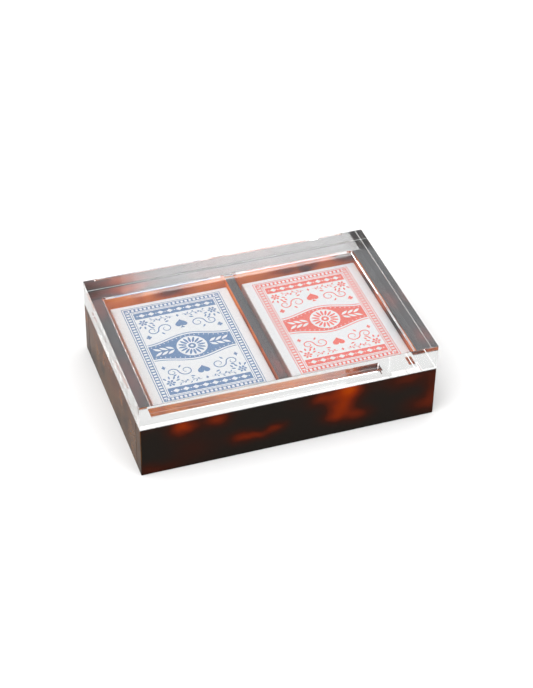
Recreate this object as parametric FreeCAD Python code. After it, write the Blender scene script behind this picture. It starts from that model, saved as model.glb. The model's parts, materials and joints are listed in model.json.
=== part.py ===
import FreeCAD, Part
import math
import os

# Playing-card box: a base of tortoiseshell acrylic sheet with a divider glued in, a thick clear
# acrylic lid that lifts off, and two decks of cards lying in their own folded tuck cartons.
#
# Frame, in millimetres: the origin is the centre of the underside, +X runs right along the front,
# +Y runs to the back and +Z is up.

# Driving dimensions of the box
BOX_X = 160.0            # length along the front, base and lid alike
BOX_Y = 110.0            # depth, base and lid alike
BASE_Z = 30.0            # height of the base's four walls
LID_Z = 15.0             # thickness of the clear lid slab
WALL = 8.0               # sheet that the walls are cut from
FLOOR = 5.0              # sheet that the floor is cut from
DIVIDER = 5.0            # sheet that the divider is cut from
DIVIDER_TOP = 25.5       # top of the divider above the underside
PLATE_Z = 3.2            # locating plate glued under the lid slab
PLATE_GAP = 0.8          # play between that plate and the walls, on every side
EDGE_BEVEL = 0.3         # polished outer edges and corners
SEAM_BEVEL = 0.15        # finer bevel on the two edges that meet where the lid sits on the base
INNER_BEVEL = 0.3        # mouth of the base and the top of the divider
PLATE_BEVEL = 0.6        # lower edges and corners of the locating plate, to lead it in

# Driving dimensions of a deck
CARD_X = 63.0            # poker-size card
CARD_Y = 88.0
CARD_Z = 0.29            # coated card stock
CARD_PITCH = 0.296       # one card to the next, with the air between them
CARD_CORNER = 3.2
CORNER_FLATS = 4         # a cut corner is this many short flats, within 0.06 mm of the round
BOARD = 0.4              # folding board of the carton
SLACK = 0.1              # air between two layers of board that aren't glued
CARTON_X = 65.8
CARTON_Y = 89.8
CARTON_Z = 17.5
FOLD_OUTER = 0.6         # outside radius of a scored fold
FOLD_INNER = 0.1
TONGUE = 14.0            # part of the tuck flap that slides in under the printed panel
TONGUE_CORNER = 8.0
TONGUE_INSET = 0.6       # the flap is this much narrower than the carton on each side
LOCK_SLIT = 4.0          # slit at each end of the tongue's fold, which the dust flaps catch
DUST_FLAP = 15.0
GLUE_LAP = 14.0          # strip that closes the sleeve, glued inside one side panel

# Where the decks lie in their compartments
DECK_FRONT = -46.2       # front end of both cartons
LEFT_DECK_X = -35.8      # middle of each carton
RIGHT_DECK_X = 38.65

# The order in which a new pack is stacked, from the underside up
SUITS = (("hearts", 13), ("clubs", 13), ("diamonds", 13), ("spades", 13), ("jokers", 2))

INNER_X = BOX_X / 2 - WALL
INNER_Y = BOX_Y / 2 - WALL
TINY = 1e-4


def block(x0, x1, y0, y1, z0, z1):
    """A box between two corners."""
    return Part.makeBox(x1 - x0, y1 - y0, z1 - z0, FreeCAD.Vector(x0, y0, z0))


def edges_where(shape, test):
    """The edges whose midpoint passes test(point, direction)."""
    found = []
    for edge in shape.Edges:
        middle = edge.valueAt((edge.FirstParameter + edge.LastParameter) / 2)
        along = edge.tangentAt((edge.FirstParameter + edge.LastParameter) / 2)
        if test(middle, along):
            found.append(edge)
    return found


def near(a, b):
    return abs(a - b) < TINY


def polished_block(z0, z1, seam):
    """A block of the box's full footprint with polished edges, the finer bevel at the seam."""
    shape = block(-BOX_X / 2, BOX_X / 2, -BOX_Y / 2, BOX_Y / 2, z0, z1)
    shape = shape.makeChamfer(EDGE_BEVEL, edges_where(shape, lambda p, d: not near(p.z, seam)))
    return shape.makeChamfer(SEAM_BEVEL, edges_where(shape, lambda p, d: near(p.z, seam)))


def base_frame():
    """The four walls as one ring: bevelled outside, with a small bevel round its mouth."""
    outside = polished_block(0, BASE_Z, seam=BASE_Z)
    ring = outside.cut(block(-INNER_X, INNER_X, -INNER_Y, INNER_Y, -1, BASE_Z + 1))
    mouth = edges_where(
        ring,
        lambda p, d: near(p.z, BASE_Z) and abs(p.x) < INNER_X + TINY and abs(p.y) < INNER_Y + TINY,
    )
    return ring.makeChamfer(INNER_BEVEL, mouth)


def wall_panels():
    """The ring cut where the sheets meet: front and back run full width, the sides butt between."""
    ring = base_frame()
    far = BOX_X
    cuts = {
        "front_wall": block(-far, far, -far, -INNER_Y, -1, BASE_Z + 1),
        "back_wall": block(-far, far, INNER_Y, far, -1, BASE_Z + 1),
        "left_wall": block(-far, 0, -INNER_Y, INNER_Y, -1, BASE_Z + 1),
        "right_wall": block(0, far, -INNER_Y, INNER_Y, -1, BASE_Z + 1),
    }
    return {name: ring.common(cut) for name, cut in cuts.items()}


def floor_panel():
    """The floor lies inside the four walls, flush with their undersides."""
    return block(-INNER_X, INNER_X, -INNER_Y, INNER_Y, 0, FLOOR)


def divider():
    """The divider stands on the floor between the front and back walls."""
    sheet = block(-DIVIDER / 2, DIVIDER / 2, -INNER_Y, INNER_Y, FLOOR, DIVIDER_TOP)
    top = edges_where(sheet, lambda p, d: near(p.z, DIVIDER_TOP) and near(p.y, 0))
    return sheet.makeChamfer(INNER_BEVEL, top)


def lid_slab():
    """The clear slab, flush with the base all round."""
    return polished_block(BASE_Z, BASE_Z + LID_Z, seam=BASE_Z)


def lid_locating_plate():
    """The clear plate under the slab, which drops inside the walls and stops the lid sliding."""
    half_x = INNER_X - PLATE_GAP
    half_y = INNER_Y - PLATE_GAP
    plate = block(-half_x, half_x, -half_y, half_y, BASE_Z - PLATE_Z, BASE_Z)
    lower = edges_where(plate, lambda p, d: p.z < BASE_Z - TINY)
    return plate.makeChamfer(PLATE_BEVEL, lower)


def carton_sleeve():
    """Four panels scored and folded round the cards, with the closed end glued across them."""
    half = CARTON_X / 2
    mouth = CARTON_Y - BOARD - SLACK
    outside = block(-half, half, 0, mouth, 0, CARTON_Z)
    folds = edges_where(
        outside,
        lambda p, d: abs(d.y) > 0.5 or (abs(d.x) > 0.5 and near(p.y, 0)),
    )
    outside = outside.makeFillet(FOLD_OUTER, folds)
    inside = block(-half + BOARD, half - BOARD, BOARD, CARTON_Y, BOARD, CARTON_Z - BOARD)
    scores = edges_where(inside, lambda p, d: abs(d.y) > 0.5)
    return outside.cut(inside.makeFillet(FOLD_INNER, scores))


def end_dust_flaps():
    """Two flaps glued flat inside the closed end. They stop just short of each other."""
    half = CARTON_X / 2
    low = BOARD + SLACK
    high = CARTON_Z - BOARD - SLACK
    left = block(-half + BOARD / 2, -SLACK * 5, BOARD - TINY, 2 * BOARD, low, high)
    return left.fuse(left.mirror(FreeCAD.Vector(0, 0, 0), FreeCAD.Vector(1, 0, 0)))


def glue_lap():
    """The strip that closes the sleeve, glued inside the left side panel."""
    left = -CARTON_X / 2
    margin = 3.0
    return block(
        left + BOARD - TINY,
        left + 2 * BOARD,
        2 * BOARD + margin,
        CARTON_Y - 2 * BOARD - margin,
        BOARD + FOLD_INNER,
        BOARD + FOLD_INNER + GLUE_LAP,
    )


def mouth_dust_flap(side):
    """One tapered flap folded in from a side panel, across the mouth. side is -1 or 1."""
    root = CARTON_X / 2 - BOARD / 2
    free = CARTON_X / 2 - BOARD - DUST_FLAP
    low = BOARD + SLACK
    high = CARTON_Z - 2 * BOARD - 2 * SLACK
    taper = 3.0
    y = CARTON_Y - 2 * BOARD - SLACK
    corners = (
        (root, low),
        (free + taper, low),
        (free, low + taper),
        (free, high - taper),
        (free + taper, high),
        (root, high),
    )
    points = [FreeCAD.Vector(side * x, y, z) for x, z in corners]
    outline = Part.makePolygon(points + points[:1])
    return Part.Face(outline).extrude(FreeCAD.Vector(0, BOARD, 0))


def tuck_flap():
    """The lid of the carton: it folds up from the underside and its tongue slides in on top."""
    half = CARTON_X / 2 - TONGUE_INSET
    top = CARTON_Z - BOARD - SLACK
    start = CARTON_Y - TONGUE
    outside = block(-half, half, start, CARTON_Y, 0, top)
    folds = edges_where(outside, lambda p, d: abs(d.x) > 0.5 and near(p.y, CARTON_Y))
    outside = outside.makeFillet(FOLD_OUTER, folds)
    inside = block(-half - 1, half + 1, start - 1, CARTON_Y - BOARD, BOARD, top - BOARD)
    scores = edges_where(inside, lambda p, d: abs(d.x) > 0.5 and near(p.y, CARTON_Y - BOARD))
    flap = outside.cut(inside.makeFillet(FOLD_INNER, scores))
    tip = edges_where(
        flap,
        lambda p, d: abs(d.z) > 0.5 and near(p.y, start) and p.z > CARTON_Z / 2,
    )
    flap = flap.makeFillet(TONGUE_CORNER, tip)
    slit_y = CARTON_Y - 2 * BOARD - SLACK
    for side in (-1, 1):
        end = sorted((side * (half - LOCK_SLIT), side * (half + 1)))
        flap = flap.cut(block(end[0], end[1], slit_y - BOARD, slit_y, top - BOARD - 1, top + 1))
    return flap


def carton():
    """One blank of board: sleeve, glued lap, four dust flaps and the tuck flap."""
    pieces = [end_dust_flaps(), glue_lap(), mouth_dust_flap(-1), mouth_dust_flap(1), tuck_flap()]
    return carton_sleeve().fuse(pieces).removeSplitter()


def card_outline():
    """The card's outline about its own middle, anticlockwise from the right-hand side."""
    middle_x = CARD_X / 2 - CARD_CORNER
    middle_y = CARD_Y / 2 - CARD_CORNER
    points = []
    for quarter, (side_x, side_y) in enumerate(((1, 1), (-1, 1), (-1, -1), (1, -1))):
        for step in range(CORNER_FLATS + 1):
            angle = math.pi / 2 * (quarter + step / CORNER_FLATS)
            x = side_x * middle_x + CARD_CORNER * math.cos(angle)
            y = side_y * middle_y + CARD_CORNER * math.sin(angle)
            points.append(FreeCAD.Vector(x, y, 0))
    return Part.makePolygon(points + points[:1])


def bottom_card():
    """The lowest card: on the underside panel, right of the glued lap, between the end flaps."""
    sheet = Part.Face(card_outline()).extrude(FreeCAD.Vector(0, 0, CARD_Z))
    near_end = 2 * BOARD
    far_end = CARTON_Y - 2 * BOARD - SLACK
    sheet.translate(FreeCAD.Vector(BOARD / 2, (near_end + far_end) / 2, BOARD))
    return sheet


def card_groups():
    """The 54 cards in new-pack order, each a solid of its own, grouped by suit."""
    first = bottom_card()
    groups = {}
    count = 0
    for suit, cards in SUITS:
        group = []
        for _ in range(cards):
            sheet = first.copy()
            sheet.translate(FreeCAD.Vector(0, 0, count * CARD_PITCH))
            group.append(sheet)
            count += 1
        groups[suit] = Part.makeCompound(group)
    return groups


def deck(name, centre_x):
    """A carton and its cards, lying on the floor of a compartment with the printed panel up."""
    pieces = {f"{name}_carton": carton()}
    for suit, group in card_groups().items():
        pieces[f"{name}_{suit}"] = group
    for shape in pieces.values():
        shape.translate(FreeCAD.Vector(centre_x, DECK_FRONT, FLOOR))
    return pieces


nodes = wall_panels()
nodes["floor_panel"] = floor_panel()
nodes["divider"] = divider()
nodes["lid_slab"] = lid_slab()
nodes["lid_locating_plate"] = lid_locating_plate()
nodes.update(deck("left_deck", LEFT_DECK_X))
nodes.update(deck("right_deck", RIGHT_DECK_X))

os.makedirs("parts", exist_ok=True)
for node, shape in nodes.items():
    shape.exportStep(f"parts/{node}.step")
    box = shape.BoundBox
    print(f"{node:20s} {len(shape.Solids):2d} solids, {shape.Volume / 1000:7.2f} cm3, valid {shape.isValid()}")
    print(f"    x {box.XMin:.2f} {box.XMax:.2f}  y {box.YMin:.2f} {box.YMax:.2f}  z {box.ZMin:.2f} {box.ZMax:.2f}")
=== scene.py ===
# %% [markdown]
# # A playing-card box in tortoiseshell and clear acrylic
#
# The box is a dark acrylic tray with a thick clear lid, and two boxed decks of cards lie in it.
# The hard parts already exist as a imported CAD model, which stays fixed. This notebook gives each
# of them its finish, and makes the few things that CAD doesn't hold: the lid as one block of
# glass-like plastic, and the ink printed on the two cartons.

# %% Load the fixed model
import json
import math
import bmesh
import bpy
from mathutils import Matrix, Vector


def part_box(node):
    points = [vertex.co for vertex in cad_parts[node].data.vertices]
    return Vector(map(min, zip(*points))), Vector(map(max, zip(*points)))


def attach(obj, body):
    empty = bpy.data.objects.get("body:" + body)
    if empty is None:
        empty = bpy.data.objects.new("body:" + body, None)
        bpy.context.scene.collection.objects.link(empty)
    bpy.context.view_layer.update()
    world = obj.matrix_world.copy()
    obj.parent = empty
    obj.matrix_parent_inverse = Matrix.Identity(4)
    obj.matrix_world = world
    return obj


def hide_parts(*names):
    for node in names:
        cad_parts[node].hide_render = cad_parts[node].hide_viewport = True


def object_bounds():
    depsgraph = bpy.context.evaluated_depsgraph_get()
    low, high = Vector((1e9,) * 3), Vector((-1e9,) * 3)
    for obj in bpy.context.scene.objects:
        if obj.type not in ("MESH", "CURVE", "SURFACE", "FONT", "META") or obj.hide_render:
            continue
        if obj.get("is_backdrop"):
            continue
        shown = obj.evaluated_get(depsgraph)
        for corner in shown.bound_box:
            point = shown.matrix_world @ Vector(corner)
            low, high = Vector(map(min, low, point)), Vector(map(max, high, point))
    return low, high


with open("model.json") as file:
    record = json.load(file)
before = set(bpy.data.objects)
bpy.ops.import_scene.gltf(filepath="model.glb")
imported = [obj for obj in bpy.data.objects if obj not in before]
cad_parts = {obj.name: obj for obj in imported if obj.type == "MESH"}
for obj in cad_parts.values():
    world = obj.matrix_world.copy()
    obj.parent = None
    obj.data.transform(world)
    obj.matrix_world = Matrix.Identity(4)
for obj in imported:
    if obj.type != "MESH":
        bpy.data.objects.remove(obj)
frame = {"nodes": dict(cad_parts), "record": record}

cad_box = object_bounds()
print("box in mm:", [round(1000 * c, 2) for corner in cad_box for c in corner])

# %% [markdown]
# Blender works in metres and the box is best thought of in millimetres, so one constant turns
# one into the other. Colours are picked on a screen as sRGB hex, but a render adds light in
# linear values, so one function turns hex to linear for every material below.

# %% Units and colours
MM = 0.001


def colour(hex_code):
    """A linear RGBA tuple from an sRGB hex code."""
    channels = [int(hex_code[i:i + 2], 16) / 255 for i in (1, 3, 5)]
    linear = [c / 12.92 if c <= 0.04045 else ((c + 0.055) / 1.055) ** 2.4 for c in channels]
    return (*linear, 1.0)


print("mid grey in linear light:", round(colour("#808080")[0], 3))

# %% [markdown]
# The camera stands to the left of the box and looks down on it at about 38 degrees with a long
# lens, so the edges converge only a little. Its place and axes are given directly: a camera
# looks along its own -Z, so the matrix takes the right, up and backward directions as columns.

# %% Camera
CAMERA_AT = Vector((-249.48, -715.66, 628.00)) * MM
CAMERA_RIGHT = Vector((0.94576, -0.32453, 0.01471))
CAMERA_UP = Vector((0.19135, 0.59308, 0.78208))
LENS_MM = 95.22
SENSOR_MM = 36.0

camera_data = bpy.data.cameras.new("camera")
camera_data.lens = LENS_MM
camera_data.sensor_width = SENSOR_MM
camera = bpy.data.objects.new("camera", camera_data)
bpy.context.scene.collection.objects.link(camera)
axes = Matrix((CAMERA_RIGHT, CAMERA_UP, CAMERA_RIGHT.cross(CAMERA_UP))).transposed()
camera.matrix_world = Matrix.Translation(CAMERA_AT) @ axes.to_4x4()
bpy.context.scene.camera = camera
print("camera looks down by", round(math.degrees(math.asin(axes.col[2].z)), 1), "degrees")

# %% [markdown]
# Every material and every generated mesh below is a tree of nodes. One helper adds a node, sets
# its options, and fills or links its inputs, and it serves shader and geometry trees alike.

# %% One helper for every node tree
def add(tree, kind, inputs=None, **settings):
    """Adds a node to a tree. inputs maps a socket's name or number to a value or an output."""
    node = tree.nodes.new(kind)
    for option, value in settings.items():
        setattr(node, option, value)
    for key, value in (inputs or {}).items():
        if isinstance(value, bpy.types.NodeSocket):
            tree.links.new(value, node.inputs[key])
        else:
            node.inputs[key].default_value = value
    return node


def math_node(tree, operation, *values, clamp=False):
    """The output of one Math node."""
    inputs = dict(enumerate(values))
    return add(tree, "ShaderNodeMath", inputs, operation=operation, use_clamp=clamp).outputs[0]


def vector_node(tree, operation, *values):
    """The first output of one Vector Math node that gives a vector."""
    inputs = dict(enumerate(values))
    return add(tree, "ShaderNodeVectorMath", inputs, operation=operation).outputs["Vector"]


def new_material(name):
    """An empty node material, its tree, its shader, and the place on the object in mm."""
    material = bpy.data.materials.new(name)
    material.use_nodes = True
    tree = material.node_tree
    coordinates = add(tree, "ShaderNodeTexCoord").outputs["Object"]
    place = vector_node(tree, "MULTIPLY", coordinates, (1 / MM,) * 3)
    return material, tree, tree.nodes["Principled BSDF"], place


def ramp(tree, factor, stops):
    """A colour ramp with (position, hex) stops."""
    node = add(tree, "ShaderNodeValToRGB", {"Fac": factor})
    for _ in range(len(stops) - 2):
        node.color_ramp.elements.new(0.5)
    for element, (position, hex_code) in zip(node.color_ramp.elements, stops):
        element.position = position
        element.color = colour(hex_code)
    return node.outputs["Color"]


print("helpers ready")

# %% [markdown]
# Clear plastic shows mostly what surrounds it, so a studio lights the surroundings and not the
# object. Here they are an even pale tent with a broad bright patch overhead and a softbox
# behind its left wall, which reaches down the near sides of the cartons. A strip softbox with
# soft ends shines through the tent at the front right, and the back edge of the lid mirrors it.
# The tent is open where the camera looks in, and that gap shows as the small dark squares in the
# lid's two back corners. One large softbox hangs straight above.

# %% Light
TENT_STRENGTH = 0.86
OVERHEAD_STRENGTH = 1.2
OVERHEAD_SINES = (0.74, 0.88)          # the bright patch fades in between these heights
SIDE_TOWARDS = (-0.61, -0.27, 0.745)
SIDE_COSINES = (0.80, 0.93)            # the side softbox fades in between these two
SIDE_STRENGTH = 2.7
GAP_TOWARDS = (-0.12, -0.76, 0.64)
GAP_COSINES = (0.93, 0.985)            # the gap fades in between these two
GAP_DARKNESS = 0.95
STRIP_STRENGTH = 7.3
STRIP_LEFT = (0.185, 0.209)            # the strip fades in between these directions along x
STRIP_RIGHT = (0.58, 0.64)             # and fades out between these
STRIP_FOOT = (0.44, 0.50)              # the same along z
STRIP_HEAD = (0.62, 0.66)
SOFTBOX_SIDE = 1.2
SOFTBOX_HEIGHT = 2.0
SOFTBOX_RADIANCE = 1.4


def fade(tree, value, ends, low, high):
    """A smooth change from low to high while value passes between the two ends."""
    return add(tree, "ShaderNodeMapRange", {
        "Value": value, "From Min": ends[0], "From Max": ends[1], "To Min": low, "To Max": high},
        interpolation_type="SMOOTHSTEP").outputs["Result"]


print("the strip is", round(STRIP_STRENGTH / TENT_STRENGTH, 1), "times as bright as the tent")

# %% [markdown]
# Tent, side softbox, strip and gap are all painted on the sky, by direction alone. The sky's
# shader gets the direction as a unit vector: its dot product with another direction tells how
# far the two are apart, and each part fades in where that number passes between two limits.

# %% Light: the tent and what shines through it
world = bpy.data.worlds.new("light_tent")
world.use_nodes = True
bpy.context.scene.world = world
tree = world.node_tree
towards = add(tree, "ShaderNodeTexCoord").outputs["Generated"]
along = add(tree, "ShaderNodeSeparateXYZ", {0: towards}).outputs
to_gap = add(tree, "ShaderNodeVectorMath", {0: towards, 1: GAP_TOWARDS}, operation="DOT_PRODUCT")
to_side = add(tree, "ShaderNodeVectorMath", {0: towards, 1: SIDE_TOWARDS}, operation="DOT_PRODUCT")
tent = fade(tree, along["Z"], OVERHEAD_SINES, TENT_STRENGTH, OVERHEAD_STRENGTH)
side = fade(tree, to_side.outputs["Value"], SIDE_COSINES, 0.0, SIDE_STRENGTH)
tent = math_node(tree, "ADD", tent, side)
strip = math_node(tree, "LESS_THAN", along["Y"], 0.0)
strip = math_node(tree, "MULTIPLY", strip, fade(tree, along["X"], STRIP_LEFT, 0.0, STRIP_STRENGTH))
strip = math_node(tree, "MULTIPLY", strip, fade(tree, along["X"], STRIP_RIGHT, 1.0, 0.0))
strip = math_node(tree, "MULTIPLY", strip, fade(tree, along["Z"], STRIP_FOOT, 0.0, 1.0))
strip = math_node(tree, "MULTIPLY", strip, fade(tree, along["Z"], STRIP_HEAD, 1.0, 0.0))
tent = math_node(tree, "ADD", tent, strip)
open_gap = fade(tree, to_gap.outputs["Value"], GAP_COSINES, 1.0, 1.0 - GAP_DARKNESS)
background = tree.nodes["Background"]
background.inputs["Color"].default_value = colour("#fefefe")
tree.links.new(math_node(tree, "MULTIPLY", tent, open_gap), background.inputs["Strength"])

print("the sky's shader has", len(tree.nodes), "nodes")

# %% [markdown]
# The sky lies endlessly far away. A softbox near the box lights its top more than its foot, so
# the one above is a real lamp. Its power is worked out from the brightness wanted on its face:
# radiance times pi times area.

# %% Light: the overhead softbox
lamp = bpy.data.lights.new("overhead_softbox", "AREA")
lamp.shape = "SQUARE"
lamp.size = SOFTBOX_SIDE
lamp.energy = SOFTBOX_RADIANCE * math.pi * SOFTBOX_SIDE ** 2
lamp_object = bpy.data.objects.new("overhead_softbox", lamp)
bpy.context.scene.collection.objects.link(lamp_object)
lamp_object.location.z = SOFTBOX_HEIGHT
lamp_object.visible_camera = False
print("overhead softbox:", round(lamp.energy, 1), "W")

# %% [markdown]
# The floor is matt white laminate, far larger than the box, so its edge never comes into view.

# %% Floor
FLOOR_SIDE = 6.0
FLOOR_DROP = 0.05 * MM      # the box stands a hair above the floor, so the two never share a face

floor_mesh = bpy.data.meshes.new("floor")
half = FLOOR_SIDE / 2
corners = [(-half, -half, 0), (half, -half, 0), (half, half, 0), (-half, half, 0)]
floor_mesh.from_pydata(corners, [], [(0, 1, 2, 3)])
floor = bpy.data.objects.new("floor", floor_mesh)
floor.location.z = -FLOOR_DROP
bpy.context.scene.collection.objects.link(floor)
laminate, tree, shader, place = new_material("matt_white_laminate")
shader.inputs["Base Color"].default_value = colour("#e2e2e2")
shader.inputs["Roughness"].default_value = 0.9
shader.inputs["Specular IOR Level"].default_value = 0.1
floor_mesh.materials.append(laminate)
floor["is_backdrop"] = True
print("floor:", FLOOR_SIDE, "m square")

# %% [markdown]
# Light has to bounce many times inside the thick lid before it comes out, so the limits on
# bounces are raised. The plain view transform keeps white board white.

# %% Bounces and tones
BOUNCES = 32
SOFT_BOUNCES = 6            # matt surfaces need few

scene = bpy.context.scene
scene.view_settings.view_transform = "Standard"
scene.view_settings.look = "None"
scene.cycles.max_bounces = BOUNCES
scene.cycles.glossy_bounces = BOUNCES
scene.cycles.transmission_bounces = BOUNCES
scene.cycles.diffuse_bounces = SOFT_BOUNCES
scene.cycles.transparent_max_bounces = 16
print("light may bounce", scene.cycles.max_bounces, "times")

# %% [markdown]
# Tortoiseshell acrylic is an amber sheet cast with drifting near-black clouds. From outside the
# dark wins, and where it is thin the sheet shows orange-red with very soft edges, which is amber
# and painted glow of light shining through the sheet. The clouds run through the thickness of the
# sheet, so the pattern is worked out in the space of the object and not on each face. Each painted
# glow is a soft mound that fades as a bell curve does, and the mounds add up, so neighbours melt
# together. Their places are given in millimetres.

# %% Tortoiseshell: where it glows with painted light and where it is dark
# each mound: centre x, y, z in mm, reach in mm along x, y, z, and strength
# on the outer faces and the rims these mounds are amber and painted glow of light shining through
# the sheet
AMBER_AND_PAINTED_GLOW_OUTSIDE = (
    ((-57.5, -55, 27.0), (7, 5, 5.5), 0.64),
    ((-40, -55, 27.5), (7, 5, 5), 0.50),
    ((-27.5, -55, 12.0), (6.5, 5, 4), 0.38),
    ((-18, -55, 11.0), (7, 5, 2.8), 0.40),
    ((-8, -55, 13.2), (5, 5, 3), 0.40),
    ((31.5, -55, 29.0), (8, 5, 7), 0.80),
    ((27.5, -55, 18.0), (8, 5, 6), 0.52),
    ((23, -55, 11.5), (6.5, 5, 4), 0.34),
    ((36, -55, 10.5), (8, 5, 4.5), 0.40),
    ((17, -55, 26.5), (8, 5, 5), 0.46),
    ((79, -55, 16.0), (5, 5, 14), 0.29),
    ((72, -55, 8.0), (9, 5, 6), 0.26),
    ((64, -55, 27.0), (14, 5, 5), 0.32),
    ((-74, -55, 2.5), (14, 5, 4), 0.26),
    ((-52, -55, 11.0), (12, 5, 8), 0.14),
    ((-80, -7, 22.0), (5, 10, 6), 0.14),
    ((-80, -42, 27.0), (5, 10, 6), 0.18),
    ((-76, 38, 30.0), (6, 14, 3), 0.54),
    ((-76, -24, 30.0), (6, 24, 3), 0.46),
    ((-57, 51.5, 30.0), (14, 6, 3), 0.92),
    ((10, 51, 30.0), (60, 5, 3), 0.30),
    ((75, -2, 30.0), (4, 9, 3), 0.55),
    ((78, -36, 30.0), (5, 9, 3), 0.52),
    ((0, -34, 25.5), (4, 12, 3), 0.60),
    ((0, -6, 25.5), (4, 16, 3), 0.20),
)
# inside the tray the painted lit amber wins, and these mounds are dark: clouds, with painted shade
# low beside the right carton
DARK_CLOUDS_AND_SHADE_INSIDE = (
    ((-34, 47, 24.0), (11, 5, 4.5), 0.72),
    ((66, 47, 26.0), (9, 5, 5), 0.9),
    ((34, 47, 23.0), (12, 5, 3.5), 0.65),
    ((10, -47, 20.0), (60, 5, 20), 0.35),
    ((72, 22, 20.0), (5, 9, 8), 0.7),
    ((72, -16, 26.0), (5, 11, 8), 0.9),
    # painted shade: the right wall's inner face darker towards the bottom beside the carton
    ((72, 0, 12.0), (3, 60, 14), 0.7),
    ((-2.5, 10, 20.0), (2, 12, 6), 0.6),
    ((-2.5, -32, 22.0), (2, 22, 8), 0.55),
    # painted shade: the divider's right face darker towards the bottom beside the carton
    ((2.5, 0, 14.0), (1.5, 60, 14), 0.85),
    ((-62, 47, 20.0), (16, 5, 12), -0.8),   # below zero: here nothing darkens the amber
)
CLOUD_MM = 30.0        # distance from one free cloud to the next
DRIFT_MM = 13.0        # size of the waves that push the mounds out of shape
DRIFT_BY_MM = 3.0
# where the haze of the milled edges is taken away, so the rim shows darker there: painted shade
RIM_SHADE_SPOTS = (
    ((76, 51, 30.0), (6, 6, 3), 0.85),
    ((-78, 52, 30.0), (6, 6, 3), 0.90),
    ((-66, 52, 30.0), (13, 4, 3), 0.65),
)
print(len(AMBER_AND_PAINTED_GLOW_OUTSIDE), "glows and", len(DARK_CLOUDS_AND_SHADE_INSIDE), "clouds have a place of their own")

# %% [markdown]
# A few small functions turn such tables into nodes. They are used for the plastic first, and
# then for the board and the inks too, so each of them does one plain thing.

# %% Helpers for patterns
def mounds(tree, place, table):
    """The sum of soft mounds, each a bell curve about its centre."""
    total = 0.0
    for centre, reach, strength in table:
        offset = vector_node(tree, "SUBTRACT", place, centre)
        offset = vector_node(tree, "DIVIDE", offset, reach)
        square = add(tree, "ShaderNodeVectorMath", {0: offset, 1: offset}, operation="DOT_PRODUCT")
        fall = math_node(tree, "MULTIPLY", square.outputs["Value"], -1.0)
        bell = math_node(tree, "EXPONENT", fall)
        total = math_node(tree, "MULTIPLY_ADD", bell, strength, total)
    return total


def band(tree, value, low, high, reach=1.0):
    """Rises smoothly from 0 to reach as value goes from low to high."""
    return fade(tree, value, (low, high), 0.0, reach)


def noise(tree, place, size_mm, detail, **more):
    """Soft random patches of about size_mm, as one output from 0 to 1."""
    return add(tree, "ShaderNodeTexNoise", {
        "Vector": place, "Scale": 1 / size_mm, "Detail": detail, **more}).outputs["Fac"]


def blend(tree, share, first, second):
    """Two colours mixed: share 0 gives the first, and share 1 the second."""
    return add(tree, "ShaderNodeMix", {0: share, 6: first, 7: second}, data_type="RGBA").outputs[2]


def surface_up(tree):
    """How far the surface faces upward, from -1 to 1."""
    normal = add(tree, "ShaderNodeNewGeometry").outputs["Normal"]
    return add(tree, "ShaderNodeSeparateXYZ", {0: normal}).outputs["Z"]


print("pattern helpers ready")

# %% [markdown]
# On the faces that have no mounds, free clouds take over. Slow waves push both the mounds and
# the clouds about by a few millimetres, because poured colour never lies in neat circles. The
# material has few plain numbers, so they come first, each with what it stands for.

# %% Tortoiseshell: the numbers and the drifting pattern
ACRYLIC_IOR = 1.49
SHEEN = 0.012               # the dark faces mirror little, as thin haze and wear break the gloss
INSIDE_X_MM = 72.4          # inner faces of the walls lie within these half-widths
INSIDE_Y_MM = 47.4
RIM_MM = 29.6
FREE_AMBER_AND_PAINTED_GLOW = (0.50, 0.78, 0.8)       # a free patch of amber and painted glow starts here, is full here, and this strong
AMBER_FROM = (0.25, 0.45)
RUSSET_IN_CLOUD = (0.30, 0.55, 0.8)
JOINT_Y_MM = 47.0           # the side walls butt against the front and back walls here
JOINT_HALF_MM = 0.35
JOINT_SHOWS = 0.7           # share of the joint's dark in the colour
JOINT_ROUGH = 0.5           # roughness that the joint adds
# the dark of the glue joints, also used as painted shade on the back arris
GLUE_AND_SHADE_DARK = "#0c0807"
SCRATCH_WHITE = "#f3f7ff"
FACING_UP = 0.5             # above this a face counts as facing upward
QUIET = 0.75                # how far the free clouds are held back on the rims and sides
SHADED_ARRIS_Y_MM = 54.0           # behind this the rim's back arris is painted near-black: painted shade
FRONT_FACE_MM = -54.5       # in front of this lies the outer front face
SIDE_FACE_MM = 79.6         # outside of this, on either side, lie the outer side faces
MURK_SHARE = 0.85           # how far the murk covers the outer faces of the side walls
FLECK_MM = 11.0             # size of the patches in the murk
RUSSET_Z_MM = (12.0, 29.0)  # it turns from olive to russet between these heights
MILLED_HAZE = 0.11          # share of white that the scratches add
SMEAR_MM = 9.0              # size of the smears that the polishing mop left
SMEAR_ROUGH = (0.03, 0.10)

tortoiseshell, tree, shader, place = new_material("tortoiseshell_acrylic_polished")
waves = add(tree, "ShaderNodeTexNoise", {"Vector": place, "Scale": 1 / DRIFT_MM, "Detail": 3.0})
push = vector_node(tree, "SUBTRACT", waves.outputs["Color"], (0.5, 0.5, 0.5))
push = vector_node(tree, "MULTIPLY", push, (2 * DRIFT_BY_MM,) * 3)
drifted = vector_node(tree, "ADD", place, push)
clouds = noise(tree, drifted, CLOUD_MM, 2.5, Roughness=0.45)
print("pattern drifts by up to", DRIFT_BY_MM, "mm")

# %% [markdown]
# The finish changes from face to face, and the material has to know where it is. It reads the
# place in millimetres and how far the surface faces up. The walls are glued from sheets, and a
# solvent joint shows as a hair-thin dark line, so one is drawn where the side walls butt against
# the front and the back.

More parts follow.
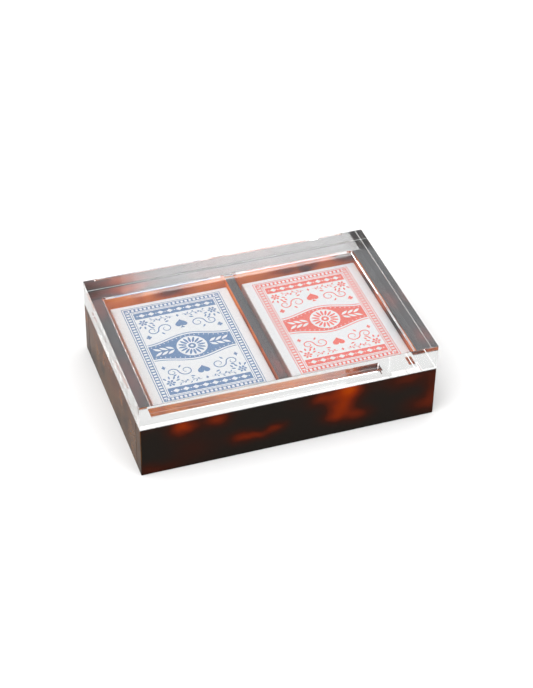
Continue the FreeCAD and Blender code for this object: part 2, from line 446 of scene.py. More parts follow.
# %% Tortoiseshell: which face is which
axis = add(tree, "ShaderNodeSeparateXYZ", {0: place}).outputs
from_middle_y = math_node(tree, "ABSOLUTE", axis["Y"])
from_middle_x = math_node(tree, "ABSOLUTE", axis["X"])
up = surface_up(tree)
inside = math_node(tree, "LESS_THAN", from_middle_x, INSIDE_X_MM)
for value, limit in ((from_middle_y, INSIDE_Y_MM), (axis["Z"], RIM_MM), (up, FACING_UP)):
    inside = math_node(tree, "MULTIPLY", inside, math_node(tree, "LESS_THAN", value, limit))
front = math_node(tree, "LESS_THAN", axis["Y"], FRONT_FACE_MM)
side = math_node(tree, "GREATER_THAN", from_middle_x, SIDE_FACE_MM)
milled_face = math_node(tree, "GREATER_THAN", up, FACING_UP)
from_joint = math_node(tree, "SUBTRACT", from_middle_y, JOINT_Y_MM)
joint = math_node(tree, "LESS_THAN", math_node(tree, "ABSOLUTE", from_joint), JOINT_HALF_MM)
in_side_wall = math_node(tree, "GREATER_THAN", from_middle_x, INSIDE_X_MM)
joint = math_node(tree, "MULTIPLY", joint, in_side_wall)
# painted shade: the back arris is painted near-black
shaded_arris = math_node(tree, "GREATER_THAN", axis["Y"], SHADED_ARRIS_Y_MM)
shaded_arris = math_node(tree, "MULTIPLY", shaded_arris, milled_face)
print("the tree has", len(tree.nodes), "nodes so far")

# %% [markdown]
# The walls' inner faces are coloured quite differently from the outer ones: light comes down
# through the lid and through the sheet, so the inner faces are painted bright amber as lit and the
# outer ones darker, which paints light into the colour. The outer side faces are cut across the
# sheet's clouds, so they show a murk of fine patches, olive near the floor and russet near the
# rim.
# Each kind of face has its own ramp, and masks choose between them.

# %% Tortoiseshell: its colours, with painted light inside and painted glow outside
quiet = math_node(tree, "MULTIPLY", math_node(tree, "MAXIMUM", milled_face, side), QUIET)
quiet = math_node(tree, "MAXIMUM", front, quiet)
loud = math_node(tree, "SUBTRACT", 1.0, quiet)
# painted glow: the orange on the outer faces stands for light shining through the sheet, on top of
# its amber
free = math_node(tree, "MULTIPLY", band(tree, clouds, *FREE_AMBER_AND_PAINTED_GLOW), loud)
outer = math_node(tree, "ADD", free, mounds(tree, drifted, AMBER_AND_PAINTED_GLOW_OUTSIDE), clamp=True)
dark_clouds_and_shade_inside = mounds(tree, drifted, DARK_CLOUDS_AND_SHADE_INSIDE)
inner = math_node(tree, "SUBTRACT", band(tree, clouds, *AMBER_FROM), dark_clouds_and_shade_inside, clamp=True)
outer_colour_with_painted_glow = ramp(tree, outer, (
    (0.0, "#1e1a17"), (0.22, "#30160f"), (0.45, "#581d0d"), (0.66, "#7e2807"),
    (0.85, "#9a3a04"), (1.0, "#b85008")))
lit_inner_colour = ramp(tree, inner, (
    (0.0, "#2a1512"), (0.3, "#74301a"), (0.6, "#d05c18"), (1.0, "#fa8c34")))
fleck = noise(tree, place, FLECK_MM, 4.0, Roughness=0.6)
olive = ramp(tree, fleck, ((0.32, "#21160f"), (0.66, "#644428")))
russet = ramp(tree, fleck, ((0.32, "#3c2012"), (0.66, "#7a4421")))
in_cloud = band(tree, clouds, *RUSSET_IN_CLOUD)
high_up = math_node(tree, "MULTIPLY", band(tree, axis["Z"], *RUSSET_Z_MM), in_cloud)
murk = blend(tree, high_up, olive, russet)
covers = math_node(tree, "SUBTRACT", MURK_SHARE, outer, clamp=True)
outer_colour_with_painted_glow = blend(tree, math_node(tree, "MULTIPLY", side, covers), outer_colour_with_painted_glow, murk)
# painted light: the inner faces get the bright lit amber, and the outer faces the darker colours
lit_inside_dark_outside = blend(tree, inside, outer_colour_with_painted_glow, lit_inner_colour)
joined = blend(tree, math_node(tree, "MULTIPLY", joint, JOINT_SHOWS), lit_inside_dark_outside, colour(GLUE_AND_SHADE_DARK))
print("ramps run from near-black to orange, and from brown to amber")

# %% [markdown]
# The faces are polished like glass, but the upward edges are only milled, and their fine
# scratches scatter a grey haze over the pattern. At the rim's back corners and the left of its
# back the haze is taken away as painted shade, and the back arris is painted near-black as shade.
# A mop leaves faint smears in the gloss.

# %% Tortoiseshell: its milled and polished surfaces
hazy = math_node(tree, "MULTIPLY", milled_face, MILLED_HAZE)
# painted shade: the haze is taken away at the rim's back corners and the left of its back
painted_rim_shade = math_node(tree, "MAXIMUM", shaded_arris, mounds(tree, place, RIM_SHADE_SPOTS))
hazy = math_node(tree, "MULTIPLY", hazy, math_node(tree, "SUBTRACT", 1.0, painted_rim_shade, clamp=True))
milled = blend(tree, hazy, joined, colour(SCRATCH_WHITE))
milled = blend(tree, shaded_arris, milled, colour(GLUE_AND_SHADE_DARK))
tree.links.new(milled, shader.inputs["Base Color"])
polish = add(tree, "ShaderNodeMapRange", {
    "Value": noise(tree, place, SMEAR_MM, 4.0),
    "To Min": SMEAR_ROUGH[0], "To Max": SMEAR_ROUGH[1]}).outputs["Result"]
polish = math_node(tree, "MULTIPLY_ADD", joint, JOINT_ROUGH, polish)
tree.links.new(polish, shader.inputs["Roughness"])
shader.inputs["IOR"].default_value = ACRYLIC_IOR
shader.inputs["Specular IOR Level"].default_value = SHEEN

base_nodes = frame["record"]["behaviour"]["bodies"]["base"]
for node in base_nodes:
    piece = frame["nodes"][node]
    piece.data.materials.clear()
    piece.data.materials.append(tortoiseshell)
print("tortoiseshell on", base_nodes)

# %% [markdown]
# The lid is two clear pieces, a slab and a thinner plate, joined with solvent. Solvent melts the
# faces together, so light sees one block. Two meshes that touch would show a false mirror
# between them, so the lid is drawn as one stepped block. It starts as a stack of cut-corner
# outlines, from the plate's underside to the slab's top, and the bevels are in the outlines.

# %% The lid's outlines
SLAB_LOW, SLAB_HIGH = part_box("lid_slab")
PLATE_LOW, PLATE_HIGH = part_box("lid_locating_plate")
PLATE_SNUG = Vector((0.2, 0.4, 0.0)) * MM     # the finished plate fits the tray more closely
PLATE_ASIDE = Vector((-0.2, 0.0, 0.0)) * MM   # and is glued on a hair to the left
PLATE_HIGH = PLATE_HIGH + PLATE_SNUG
SLAB_BEVEL = 0.10 * MM      # the slab's edges are crisp
SEAT_BEVEL = 0.25 * MM      # a little more on the edges that rest on the tray's rim
PLATE_BEVEL = 0.30 * MM     # the plate's lower edge is eased, to lead it into the tray
AIR_UNDER_LID = 0.03 * MM   # the lid rests on a film of air, and never wets the rim


def cut_corner_outline(high, inset, z, corner):
    """Eight points round a rectangle with cut corners, all at one height."""
    x = high.x - inset
    y = high.y - inset
    near_x = x - corner
    near_y = y - corner
    around = (
        (near_x, y), (-near_x, y), (-x, near_y), (-x, -near_y),
        (-near_x, -y), (near_x, -y), (x, -near_y), (x, near_y))
    return [Vector((px, py, z)) for px, py in around]


seat = SLAB_LOW.z + AIR_UNDER_LID
plate_outlines = (
    cut_corner_outline(PLATE_HIGH, PLATE_BEVEL, PLATE_LOW.z, PLATE_BEVEL / 3),
    cut_corner_outline(PLATE_HIGH, 0.0, PLATE_LOW.z + PLATE_BEVEL, PLATE_BEVEL),
    cut_corner_outline(PLATE_HIGH, 0.0, seat, PLATE_BEVEL),
)
slab_outlines = (
    cut_corner_outline(SLAB_HIGH, SEAT_BEVEL, seat, SLAB_BEVEL),
    cut_corner_outline(SLAB_HIGH, 0.0, seat + SEAT_BEVEL, SLAB_BEVEL),
    cut_corner_outline(SLAB_HIGH, 0.0, SLAB_HIGH.z - SLAB_BEVEL, SLAB_BEVEL),
    cut_corner_outline(SLAB_HIGH, SLAB_BEVEL, SLAB_HIGH.z, SLAB_BEVEL),
)
outlines = [[point + PLATE_ASIDE for point in outline] for outline in plate_outlines]
outlines += slab_outlines
print("the lid is a stack of", len(outlines), "outlines")

# %% [markdown]
# Each outline is joined to the next one up by a ring of eight faces, and the first and the last
# are filled. The result is closed, which light needs to know where the plastic begins and ends.

# %% The lid as one block
shape = bmesh.new()
rings = [[shape.verts.new(point) for point in outline] for outline in outlines]
for lower, upper in zip(rings, rings[1:]):
    for i in range(8):
        j = (i + 1) % 8
        shape.faces.new((lower[i], lower[j], upper[j], upper[i]))
shape.faces.new(rings[0])
shape.faces.new(rings[-1])
bmesh.ops.recalc_face_normals(shape, faces=shape.faces)
lid_mesh = bpy.data.meshes.new("clear_lid")
shape.to_mesh(lid_mesh)
shape.free()
lid = bpy.data.objects.new("clear_lid", lid_mesh)
bpy.context.scene.collection.objects.link(lid)
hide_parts("lid_slab", "lid_locating_plate")
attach(lid, "lid")
print("lid mesh:", len(lid_mesh.polygons), "faces")

# %% [markdown]
# Cast acrylic is clearer than window glass: it hardly tints, and bends light by 1.49. Polished
# faces scatter nothing, so roughness is zero. The long path from edge to edge does soak up some
# light. The top is cast against glass and is flat, while the edges are milled and then polished,
# which leaves shallow upright ripples that make what is mirrored in them wander a little.

# %% Clear acrylic
RIPPLE_MM = 5.0
RIPPLE_DEEP_MM = 0.013
UPRIGHT = (1.0, 1.0, 0.06)  # squeezes the pattern's height, so the ripples run up the edge
EDGE_FACES = 0.5            # a face that turns up or down by less than this is an edge
SOAK_PER_M = 1.5            # density of what the plastic soaks up

clear, tree, shader, place = new_material("clear_cast_acrylic_polished")
shader.inputs["Base Color"].default_value = colour("#fcfdfd")
shader.inputs["Transmission Weight"].default_value = 1.0
shader.inputs["IOR"].default_value = ACRYLIC_IOR
shader.inputs["Roughness"].default_value = 0.0
ripple = noise(tree, vector_node(tree, "MULTIPLY", place, UPRIGHT), RIPPLE_MM, 1.0)
up_or_down = math_node(tree, "ABSOLUTE", surface_up(tree))
on_edge = math_node(tree, "LESS_THAN", up_or_down, EDGE_FACES)
bump = add(tree, "ShaderNodeBump", {
    "Height": math_node(tree, "MULTIPLY", ripple, on_edge), "Strength": 1.0,
    "Distance": RIPPLE_DEEP_MM * MM})
tree.links.new(bump.outputs["Normal"], shader.inputs["Normal"])
soak = add(tree, "ShaderNodeVolumeAbsorption", {"Color": colour("#dedcd6"), "Density": SOAK_PER_M})
tree.links.new(soak.outputs["Volume"], tree.nodes["Material Output"].inputs["Volume"])
lid_mesh.materials.append(clear)
print("lid finish:", clear.name)

# %% [markdown]
# A tuck carton is folded from coated white board. The coating is smooth and slightly glossy,
# while the fibre under it leaves a faint mottle. Along the folds the coating is cracked a little
# and greyer. Playing cards are whiter and slicker, with a linen-fine grain.

# %% Carton board and card stock
DECK_MIDDLES_MM = {}
for side in ("left", "right"):
    low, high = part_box(f"{side}_deck_carton")
    DECK_MIDDLES_MM[side] = tuple((low + high) / 2 / MM)
    print(side, "carton's middle in mm:", [round(c, 2) for c in DECK_MIDDLES_MM[side]])
DECK_HALVES_MM = tuple((high - low) / 2 / MM)
FOLD_MM = (0.9, 0.1)        # the wear at a fold begins this far in, and is full this far in
SCUFF_MM = 2.2              # size of the breaks in the worn line
SCUFFS = (0.35, 0.7, 0.5)   # a scuff starts here, is full here, and this strong
SCUFF_GREY = "#c9c4bb"


def paper(name, low, high, grain_mm, roughness, deep_mm):
    """Coated paper or board between two tones, with a fine grain."""
    material, tree, shader, place = new_material(name)
    grain = noise(tree, place, grain_mm, 5.0)
    shader.inputs["Roughness"].default_value = roughness
    bump = add(tree, "ShaderNodeBump", {
        "Height": grain, "Strength": 1.0, "Distance": deep_mm * MM})
    tree.links.new(bump.outputs["Normal"], shader.inputs["Normal"])
    return material, tree, shader, place, ramp(tree, grain, ((0.3, low), (0.7, high)))


def scuffed(tree, place, tone, side):
    """Greys the tone along the folds of one carton, in a broken line."""
    offset = vector_node(tree, "SUBTRACT", place, DECK_MIDDLES_MM[side])
    offset = add(tree, "ShaderNodeSeparateXYZ", {0: vector_node(tree, "ABSOLUTE", offset)}).outputs
    near = [band(tree, offset[i], *(DECK_HALVES_MM[i] - d for d in FOLD_MM)) for i in range(3)]
    pairs = [math_node(tree, "MULTIPLY", near[i], near[j]) for i, j in ((0, 1), (0, 2), (1, 2))]
    fold = math_node(tree, "MAXIMUM", math_node(tree, "MAXIMUM", pairs[0], pairs[1]), pairs[2])
    broken = noise(tree, place, SCUFF_MM, 3.0)
    worn = math_node(tree, "MULTIPLY", fold, band(tree, broken, *SCUFFS))
    return blend(tree, worn, tone, colour(SCUFF_GREY))


print("deck half sizes in mm:", [round(c, 2) for c in DECK_HALVES_MM])

# %% [markdown]
# The two cartons wear at their own folds, so each has a material of its own, built by the same
# function. The cards are cut from one stock and share one.

# %% Board and stock on their pieces
cards, tree, shader, place, tone = paper(
    "playing_card_stock_linen", "#f3f2ee", "#fbfaf6", grain_mm=0.35, roughness=0.35, deep_mm=0.004)
tree.links.new(tone, shader.inputs["Base Color"])
for side in ("left", "right"):
    board, tree, shader, place, tone = paper(
        f"coated_carton_board_{side}", "#f3f4f7", "#fafafc",
        grain_mm=1.6, roughness=0.42, deep_mm=0.01)
    tree.links.new(scuffed(tree, place, tone, side), shader.inputs["Base Color"])
    for node in frame["record"]["behaviour"]["bodies"][f"{side}_deck"]:
        piece = frame["nodes"][node]
        piece.data.materials.clear()
        piece.data.materials.append(board if node.endswith("_carton") else cards)
print("board on the cartons, card stock on the cards")

# %% [markdown]
# The front panel of each carton carries a printed label, one ink on white. Offset ink is only a
# few thousandths of a millimetre thick, and here it is a skin of 0.03 mm, so that it is a real
# shape that rides with its carton. A printer leaves white motifs open in solid ink. A flat curve
# in Blender does the same: it fills its outer loop, and a loop inside that becomes a hole.

# %% Flat ink from loops
INK_MM = 0.03


def flat_ink(loops):
    """A closed sheet of ink that fills each loop and leaves a loop inside it open."""
    outline = bpy.data.curves.new("outline", "CURVE")
    outline.dimensions = "2D"
    outline.fill_mode = "BOTH"
    outline.extrude = INK_MM / 2
    for loop in loops:
        spline = outline.splines.new("POLY")
        spline.points.add(len(loop) - 1)
        for point, (u, v) in zip(spline.points, loop):
            point.co = (u, v, 0.0, 1.0)
        spline.use_cyclic_u = True
    holder = bpy.data.objects.new("outline", outline)
    mesh = bpy.data.meshes.new_from_object(holder)
    bpy.data.objects.remove(holder)
    bpy.data.curves.remove(outline)
    return mesh


def placed(loop, at=(0.0, 0.0), turn=0.0, size=1.0, mirror=False):
    """A loop scaled, mirrored left to right if asked, turned in degrees and moved."""
    c = math.cos(math.radians(turn)) * size
    s = math.sin(math.radians(turn)) * size
    moved = []
    for u, v in loop:
        u = -u if mirror else u
        moved.append((at[0] + c * u - s * v, at[1] + s * u + c * v))
    return moved


def rectangle(half_u, half_v):
    """A rectangle about its middle."""
    return [(half_u, half_v), (-half_u, half_v), (-half_u, -half_v), (half_u, -half_v)]


def circle(radius, sides=24):
    """A round loop."""
    turns = [2 * math.pi * i / sides for i in range(sides)]
    return [(radius * math.cos(a), radius * math.sin(a)) for a in turns]


print("ink is", INK_MM, "mm thick")

# %% [markdown]
# The motifs are old printers' ornaments: a leaf, a tapering scroll and the four suit marks. Each
# is one loop. A scroll is drawn as its spine, a spiral, with the pen's width to either side. The
# heart is a well-known closed curve, and the spade is the same heart turned over on a foot.

# %% Motifs
def leaf(length, width, steps=7):
    """A pointed leaf that grows from the origin along u."""
    shares = [i / steps for i in range(steps + 1)]
    upper = [(length * t, width / 2 * math.sin(math.pi * t)) for t in shares]
    lower = [(u, -v) for u, v in upper[1:-1]]
    return upper + lower[::-1]


def pen_line(spine, width, taper=0.0):
    """The outline of a pen line along a spine. taper is how much narrower its two ends are."""
    left = []
    right = []
    for i, (u, v) in enumerate(spine):
        before = spine[max(i - 1, 0)]
        after = spine[min(i + 1, len(spine) - 1)]
        along = Vector((after[0] - before[0], after[1] - before[1])).normalized()
        swell = 1 - taper * (1 - math.sin(math.pi * i / (len(spine) - 1)))
        reach = width / 2 * swell
        left.append((u - along.y * reach, v + along.x * reach))
        right.append((u + along.y * reach, v - along.x * reach))
    return left + right[::-1]


def spiral(radius, turns, steps=34, tightening=0.16):
    """A spine that starts at the origin, heads along v and winds in round (-radius, 0)."""
    points = []
    for i in range(steps + 1):
        angle = 2 * math.pi * turns * i / steps
        r = radius * math.exp(-tightening * angle)
        points.append((r * math.cos(angle) - radius, r * math.sin(angle)))
    return points


def heart_curve(start=0.0, steps=36):
    """A heart 32 wide about the origin, beginning start radians from its notch."""
    points = []
    for i in range(steps + 1):
        t = start + (2 * math.pi - 2 * start) * i / steps
        v = 13 * math.cos(t) - 5 * math.cos(2 * t) - 2 * math.cos(3 * t) - math.cos(4 * t)
        points.append((16 * math.sin(t) ** 3, v))
    return points


def suit_mark(suit, width):
    """A heart, spade, diamond or club of the given width, upright about its middle."""
    if suit == "heart":
        loop = heart_curve()[:-1]
    elif suit == "spade":
        foot = [(-1.0, -12.0), (-6.0, -19.0), (6.0, -19.0), (1.0, -12.0)]
        loop = [(u, -v) for u, v in heart_curve(start=0.5)] + foot
    elif suit == "diamond":
        loop = [(0, 19), (-5, 7.5), (-13, 0), (-5, -7.5), (0, -19), (5, -7.5), (13, 0), (5, 7.5)]
    else:
        lobes = (((0.0, 8.5), 7.2), ((-8.6, -3.5), 7.2), ((8.6, -3.5), 7.2), ((0.0, 0.0), 4.0))
        loop = []
        for i in range(72):
            angle = 2 * math.pi * i / 72
            ray = Vector((math.cos(angle), math.sin(angle)))
            reach = 0.0
            for middle, radius in lobes:
                middle = Vector(middle)
                along = ray.dot(middle)
                inside = radius ** 2 - middle.length_squared + along ** 2
                if inside > 0:
                    reach = max(reach, along + math.sqrt(inside))
            if ray.y < -0.93:
                reach = 18.0 / -ray.y
            loop.append(tuple(ray * reach))
    return placed(loop, size=width / 32)


print("spade has", len(suit_mark("spade", 8.0)), "points")

# %% [markdown]
# The label is the same upside down, as a playing card is. A ladder border frames it, a solid bar
# closes it at each end, and a wide cartouche with a rosette crosses the middle. Between them are
# a suit mark, a pair of scrolls and a strip of vine. All of it is plain ornament, drawn here in
# millimetres about the middle of the label.

# %% The label's measures
LADDER_PITCH = 2.3
LADDER_ACROSS = 22          # steps along the short and the long side of the ladder's middle line
LADDER_UP = 33
LADDER_HALF_U = LADDER_PITCH * LADDER_ACROSS / 2
LADDER_HALF_V = LADDER_PITCH * LADDER_UP / 2
BORDER_LINES = ((2.4, 0.35), (1.35, 0.45), (-0.9, 0.45), (-2.0, 0.3))   # how far out, how thick
CARTOUCHE_HALF = 22.4
ROSETTE_RADIUS = 8.2
BAR_V = 32.4                # height of the solid bar above the middle
SUIT_V = 20.2
SMALL_SUIT = (19.6, 13.4)
VINE_V = 26.9
VINE_LOW = 2.6              # the vine begins this far from the middle
FLOWER = (19.2, 26.1)
FLOWER_REACH = 3.1


def frame_line(out, thick):
    """Two loops that leave a line thick mm wide, out mm beyond the ladder's middle line."""
    outer = rectangle(LADDER_HALF_U + out, LADDER_HALF_V + out)
    return [outer, rectangle(LADDER_HALF_U + out - thick, LADDER_HALF_V + out - thick)]


def cartouche_height(u, beyond=0.0):
    """Half the height of the cartouche at u, higher in the middle."""
    return 5.4 + 4.6 * math.cos(math.pi * u / (2 * CARTOUCHE_HALF)) ** 2 + beyond


def evenly(low, high, count):
    """count numbers from low to high."""
    return [low + (high - low) * i / (count - 1) for i in range(count)]


def vine_height(u):
    """The vine's gentle wave."""
    return VINE_V + 0.55 * math.sin(1.3 * (u - VINE_LOW))


def on_side(loop, side_u):
    """A loop as it is, or as its mirror image where side_u is -1."""
    return [(side_u * u, v) for u, v in loop]


print("ladder in mm:", round(2 * LADDER_HALF_U, 1), "by", round(2 * LADDER_HALF_V, 1))

# %% [markdown]
# A line of a frame is two rectangles, one inside the other, because the inner loop of a filled
# curve is a hole. The same holds for the motifs in the cartouche: dots and leaves that lie in
# its solid shape come out white.

# %% Border and cartouche
border = [loop for out, thick in BORDER_LINES for loop in frame_line(out, thick)]
for side_u in (-1, 1):
    for side_v in (-1, 1):
        corner = (side_u * LADDER_HALF_U, side_v * LADDER_HALF_V)
        border += [placed(rectangle(0.84, 0.84), corner), placed(circle(0.45, 12), corner)]

across = evenly(-CARTOUCHE_HALF, CARTOUCHE_HALF, 33)
upper_edge = [(u, cartouche_height(u)) for u in across]
cartouche = [upper_edge + [(u, -v) for u, v in upper_edge[::-1]]]
cartouche.append(circle(ROSETTE_RADIUS, 48))
cartouche += [circle(2.1, 24), circle(0.9, 12)]
for u in evenly(-20.9, 20.9, 18):
    for side_v in (-1, 1):
        cartouche.append(placed(circle(0.36, 8), (u, side_v * cartouche_height(u, -1.05))))
for u in (9.6, 13.0, 16.4):
    for turn in (-33, 33, 147, 213):
        along = 1 if abs(turn) < 90 else -1
        rise = 0.4 if turn in (33, 147) else -0.4
        cartouche.append(placed(leaf(5.0, 1.7), (along * u, rise), turn))

print("border and cartouche:", len(border) + len(cartouche), "loops")

# %% [markdown]
# One half of the label is drawn upright: the bar with its lozenges, and on either side a scroll
# with sprigs, a strip of vine and a flower's leaves. What lies on the left is the mirror image
# of what lies on the right.

# %% One half of the label
lozenge = [(1.9, 0), (0, 1.5), (-1.9, 0), (0, -1.5)]
half_label = [placed(rectangle(CARTOUCHE_HALF, 2.6), (0, BAR_V))]
half_label += [placed(lozenge, (u, BAR_V)) for u in evenly(-18.2, 18.2, 8)]
half_label += [placed(circle(0.42, 8), (u, BAR_V)) for u in evenly(-20.8, 20.8, 9)]
half_label.append(pen_line([(u, cartouche_height(u, 1.3)) for u in across], 0.5))
half_label.append(placed(suit_mark("diamond", 2.2), (0, 27.0)))
for mirror in (False, True):
    side_u = -1 if mirror else 1
    curl = spiral(4.1, 1.25)
    scroll = placed(spiral(3.3, 1.2), turn=180)[::-1] + curl[1:]
    stroke = pen_line(scroll, 0.62, taper=0.7)
    half_label.append(placed(stroke, (side_u * 12.9, 18.2), mirror=mirror))
    for at, turn in (
            ((13.8, 21.4), 62), ((14.5, 20.2), 28), ((12.1, 15.4), -128), ((8.0, 23.4), 160)):
        half_label.append(on_side(placed(leaf(2.6, 1.0), at, turn), side_u))
    vine = [(u, vine_height(u)) for u in evenly(VINE_LOW, 15.2, 30)]
    half_label.append(on_side(pen_line(vine, 0.32, taper=0.6), side_u))
    for i, u in enumerate(evenly(3.8, 14.0, 8)):
        up_or_down = 1 if i % 2 else -1
        stalk = vine_height(u) + 0.35 * up_or_down
        half_label.append(on_side(placed(leaf(1.7, 0.75), (u, stalk), 48 * up_or_down), side_u))
    half_label.append(placed(circle(0.62, 10), (side_u * FLOWER[0], FLOWER[1])))
    for turn in (200, 235, 270, 305):
        along_u = FLOWER_REACH * math.cos(math.radians(turn))
        along_v = FLOWER_REACH * math.sin(math.radians(turn))
        at = (FLOWER[0] + along_u, FLOWER[1] + along_v)
        half_label.append(on_side(placed(leaf(2.6, 1.0), at, turn), side_u))

print("half a label:", len(half_label), "loops")

# %% [markdown]
# The other half is the same one turned by 180 degrees, with other suit marks. All loops are
# filled in one go, so that each one can leave a hole in the one around it.

# %% The whole label
label_loops = border + cartouche
for suit, small_suit, turn in (("spade", "club", 0), ("heart", "diamond", 180)):
    half = half_label + [placed(suit_mark(suit, 6.6), (0, SUIT_V))]
    for side_u in (-1, 1):
        half.append(placed(suit_mark(small_suit, 3.0), (side_u * SMALL_SUIT[0], SMALL_SUIT[1])))
    label_loops += [placed(loop, turn=turn) for loop in half]
label_flat = flat_ink(label_loops)
print("label:", len(label_loops), "loops,", len(label_flat.polygons), "faces")

# %% [markdown]
# The ladder's rungs and the petals of the rosette and the corner flowers repeat, so Geometry
# Nodes place them. Each tree is made here with named inputs for its sizes. The first walks round
# a rectangle and sets a rung at every step, except at the corners. The second sets petals round
# a circle. Both end by turning the copies into real mesh and giving it its ink.

# %% Helpers for geometry trees
def geometry_tree(name, sizes):
    """An empty geometry tree with named inputs, and its group input and output nodes."""
    tree = bpy.data.node_groups.new(name, "GeometryNodeTree")
    tree.interface.new_socket("Geometry", in_out="OUTPUT", socket_type="NodeSocketGeometry")
    for label, kind, value in sizes:
        socket = tree.interface.new_socket(label, in_out="INPUT", socket_type=kind)
        if value is not None:
            socket.default_value = value
    return tree, tree.nodes.new("NodeGroupInput").outputs, tree.nodes.new("NodeGroupOutput")


def finish_tree(tree, geometry, ink, group_output):
    """Ends a tree: the copies become mesh and get their ink."""
    real = add(tree, "GeometryNodeRealizeInstances", {0: geometry})
    inked = add(tree, "GeometryNodeSetMaterial", {0: real.outputs[0], "Material": ink})
    tree.links.new(inked.outputs[0], group_output.inputs[0])


def run_tree(tree, values):
    """The plain mesh that a tree makes with the given values."""
    holder = bpy.data.objects.new(tree.name, bpy.data.meshes.new(tree.name))
    bpy.context.scene.collection.objects.link(holder)
    modifier = holder.modifiers.new(tree.name, "NODES")
    modifier.node_group = tree
    for socket in tree.interface.items_tree:
        if socket.in_out == "INPUT" and socket.name in values:
            modifier[socket.identifier] = values[socket.name]
    evaluated = holder.evaluated_get(bpy.context.evaluated_depsgraph_get())
    mesh = bpy.data.meshes.new_from_object(evaluated)
    holder.modifiers.remove(modifier)
    bpy.data.objects.remove(holder)
    return mesh


FLOAT, INTEGER, MATERIAL = "NodeSocketFloat", "NodeSocketInt", "NodeSocketMaterial"
print("tree helpers ready")

# %% [markdown]
# A tangent says which way the path runs, so a rung turned to it stands square across the
# ladder, on the long sides and the short ones alike. The four corners have a mark of their own,
# and a rung is left out there.

# %% The ladder's rungs
rung_tree, sizes, group_output = geometry_tree("border_rungs", (
    ("Frame Width", FLOAT, 50.0), ("Frame Height", FLOAT, 75.0), ("Rungs", INTEGER, 110),
    ("Rung Length", FLOAT, 1.9), ("Rung Width", FLOAT, 0.95), ("Ink Thickness", FLOAT, INK_MM),
    ("Ink", MATERIAL, None)))
path = add(rung_tree, "GeometryNodeCurvePrimitiveQuadrilateral", {
    "Width": sizes["Frame Width"], "Height": sizes["Frame Height"]})
steps = add(rung_tree, "GeometryNodeResampleCurve", {
    "Curve": path.outputs[0], "Count": sizes["Rungs"]})
size = add(rung_tree, "ShaderNodeCombineXYZ", {
    0: sizes["Rung Width"], 1: sizes["Rung Length"], 2: sizes["Ink Thickness"]})
rung = add(rung_tree, "GeometryNodeMeshCube", {"Size": size.outputs[0]})
along = add(rung_tree, "GeometryNodeInputTangent")
turned = add(rung_tree, "FunctionNodeAlignRotationToVector", {
    "Vector": along.outputs[0]}, axis="X")
where = add(rung_tree, "ShaderNodeSeparateXYZ", {
    0: add(rung_tree, "GeometryNodeInputPosition").outputs[0]})
short_of_side = []
for i, side in enumerate(("Frame Width", "Frame Height")):
    reach = math_node(rung_tree, "MULTIPLY_ADD", sizes[side], 0.5, -0.1)
    off_middle = math_node(rung_tree, "ABSOLUTE", where.outputs[i])
    short_of_side.append(math_node(rung_tree, "LESS_THAN", off_middle, reach))
not_corner = math_node(rung_tree, "MAXIMUM", *short_of_side)
rungs = add(rung_tree, "GeometryNodeInstanceOnPoints", {
    "Points": steps.outputs[0], "Selection": not_corner, "Instance": rung.outputs[0],
    "Rotation": turned.outputs[0]})
finish_tree(rung_tree, rungs.outputs[0], sizes["Ink"], group_output)

print("tree:", rung_tree.name)

# %% [markdown]
# A petal is a flat disc stretched along its length. On a ring about the origin the place of a
# point is also the way outward, so each petal is turned to its own place.

# %% The petals
petal_tree, sizes, group_output = geometry_tree("petal_ring", (
    ("Petals", INTEGER, 16), ("Ring Radius", FLOAT, 5.0), ("Petal Length", FLOAT, 4.4),
    ("Petal Width", FLOAT, 1.2), ("Ink Thickness", FLOAT, INK_MM), ("Ink", MATERIAL, None)))
ring = add(petal_tree, "GeometryNodeMeshCircle", {
    "Vertices": sizes["Petals"], "Radius": sizes["Ring Radius"]})
disc = add(petal_tree, "GeometryNodeMeshCylinder", {"Vertices": 14, "Radius": 0.5, "Depth": 1.0})
size = add(petal_tree, "ShaderNodeCombineXYZ", {
    0: sizes["Petal Length"], 1: sizes["Petal Width"], 2: sizes["Ink Thickness"]})
petal = add(petal_tree, "GeometryNodeTransform", {
    "Geometry": disc.outputs["Mesh"], "Scale": size.outputs[0]})
outward = add(petal_tree, "FunctionNodeAlignRotationToVector", {
    "Vector": add(petal_tree, "GeometryNodeInputPosition").outputs[0]}, axis="X")
petals = add(petal_tree, "GeometryNodeInstanceOnPoints", {
    "Points": ring.outputs[0], "Instance": petal.outputs[0], "Rotation": outward.outputs[0]})
finish_tree(petal_tree, petals.outputs[0], sizes["Ink"], group_output)
print("tree:", petal_tree.name)

# %% [markdown]
# Coated board takes ink well, yet a solid is never quite even: the rollers leave a faint mottle
# under a millimetre across, and the fibres beneath break it a little. The red is a warm
# coral and the blue a soft mid blue. Ink that has dried on coating is a little glossier than it.

# %% Printing inks
INK_MOTTLE_MM = 0.7


def printing_ink(name, thin, full):
    """Offset ink with a faint mottle between a thin and a full layer."""
    material, tree, shader, place = new_material(name)
    mottle = noise(tree, place, INK_MOTTLE_MM, 4.0)
    tree.links.new(ramp(tree, mottle, ((0.32, thin), (0.6, full))), shader.inputs["Base Color"])
    shader.inputs["Roughness"].default_value = 0.35
    return material


INKS = {
    "left": printing_ink("offset_ink_blue", "#7294c0", "#5c82b3"),
    "right": printing_ink("offset_ink_coral", "#f87f72", "#f66658"),
}
print("inks:", [ink.name for ink in INKS.values()])

# %% [markdown]
# Now each label is put together on its carton: the flat loops, the rungs, the rosette and the
# four flowers become one mesh. The CAD gives the top of the carton's front panel, and the ink
# lies on it, sunk in by a hair so that no gap shows under its edge.

# %% Labels on the cartons
LABEL_MIDDLE_Y = 0.35 * MM
INK_SUNK = 0.25             # share of its thickness that is in the board
FLOWERS = [(side_u * FLOWER[0], side_v * FLOWER[1]) for side_u in (-1, 1) for side_v in (-1, 1)]

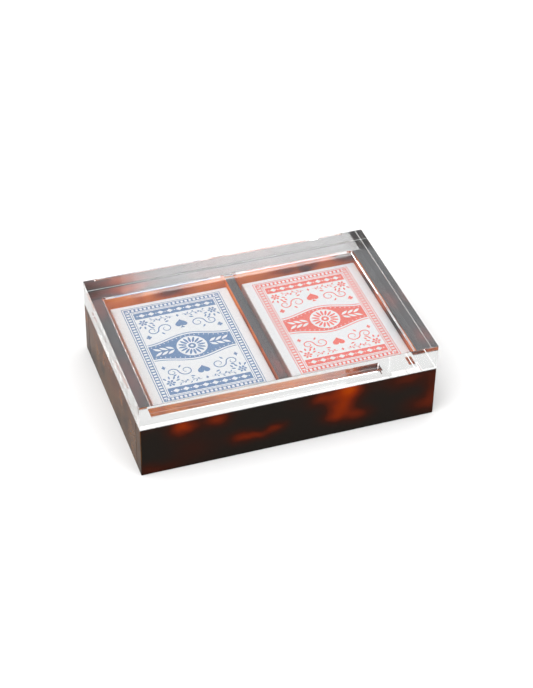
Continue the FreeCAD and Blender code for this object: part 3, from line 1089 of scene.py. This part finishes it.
for side, ink in INKS.items():
    low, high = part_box(f"{side}_deck_carton")
    rungs = run_tree(rung_tree, {
        "Frame Width": 2 * LADDER_HALF_U, "Frame Height": 2 * LADDER_HALF_V,
        "Rungs": 2 * (LADDER_ACROSS + LADDER_UP), "Rung Length": 1.9, "Rung Width": 0.95,
        "Ink Thickness": INK_MM, "Ink": ink})
    rosette = run_tree(petal_tree, {
        "Petals": 16, "Ring Radius": 5.1, "Petal Length": 4.4, "Petal Width": 1.25,
        "Ink Thickness": INK_MM, "Ink": ink})
    flower = run_tree(petal_tree, {
        "Petals": 6, "Ring Radius": 1.65, "Petal Length": 1.7, "Petal Width": 1.25,
        "Ink Thickness": INK_MM, "Ink": ink})
    whole = bmesh.new()
    middle = [(0, 0)]
    parts = ((label_flat, middle), (rungs, middle), (rosette, middle), (flower, FLOWERS))
    for mesh, spots in parts:
        for spot in spots:
            before = len(whole.verts)
            whole.from_mesh(mesh)
            whole.verts.ensure_lookup_table()
            bmesh.ops.translate(whole, verts=whole.verts[before:], vec=(*spot, 0.0))
    bmesh.ops.remove_doubles(whole, verts=whole.verts, dist=1e-4)
    bmesh.ops.recalc_face_normals(whole, faces=whole.faces)
    bmesh.ops.scale(whole, verts=whole.verts, vec=(MM, MM, MM))
    seat = high.z + INK_MM * MM * (0.5 - INK_SUNK)
    bmesh.ops.translate(whole, verts=whole.verts, vec=((low.x + high.x) / 2, LABEL_MIDDLE_Y, seat))
    label_mesh = bpy.data.meshes.new(f"{side}_deck_print")
    whole.to_mesh(label_mesh)
    whole.free()
    label_mesh.materials.clear()
    label_mesh.materials.append(ink)
    for polygon in label_mesh.polygons:
        polygon.material_index = 0
    label = bpy.data.objects.new(f"{side}_deck_print", label_mesh)
    bpy.context.scene.collection.objects.link(label)
    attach(label, f"{side}_deck")
    print(label.name, len(label_mesh.polygons), "faces")

# %% [markdown]
# At the end the whole model is measured once more, and its box is set beside the CAD's own box.

# %% Measure and finish
model_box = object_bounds()
sizes = {
    "cad": [list(corner) for corner in cad_box], "scene": [list(corner) for corner in model_box]}
print("scene box in mm:", [round(1000 * c, 2) for corner in model_box for c in corner])
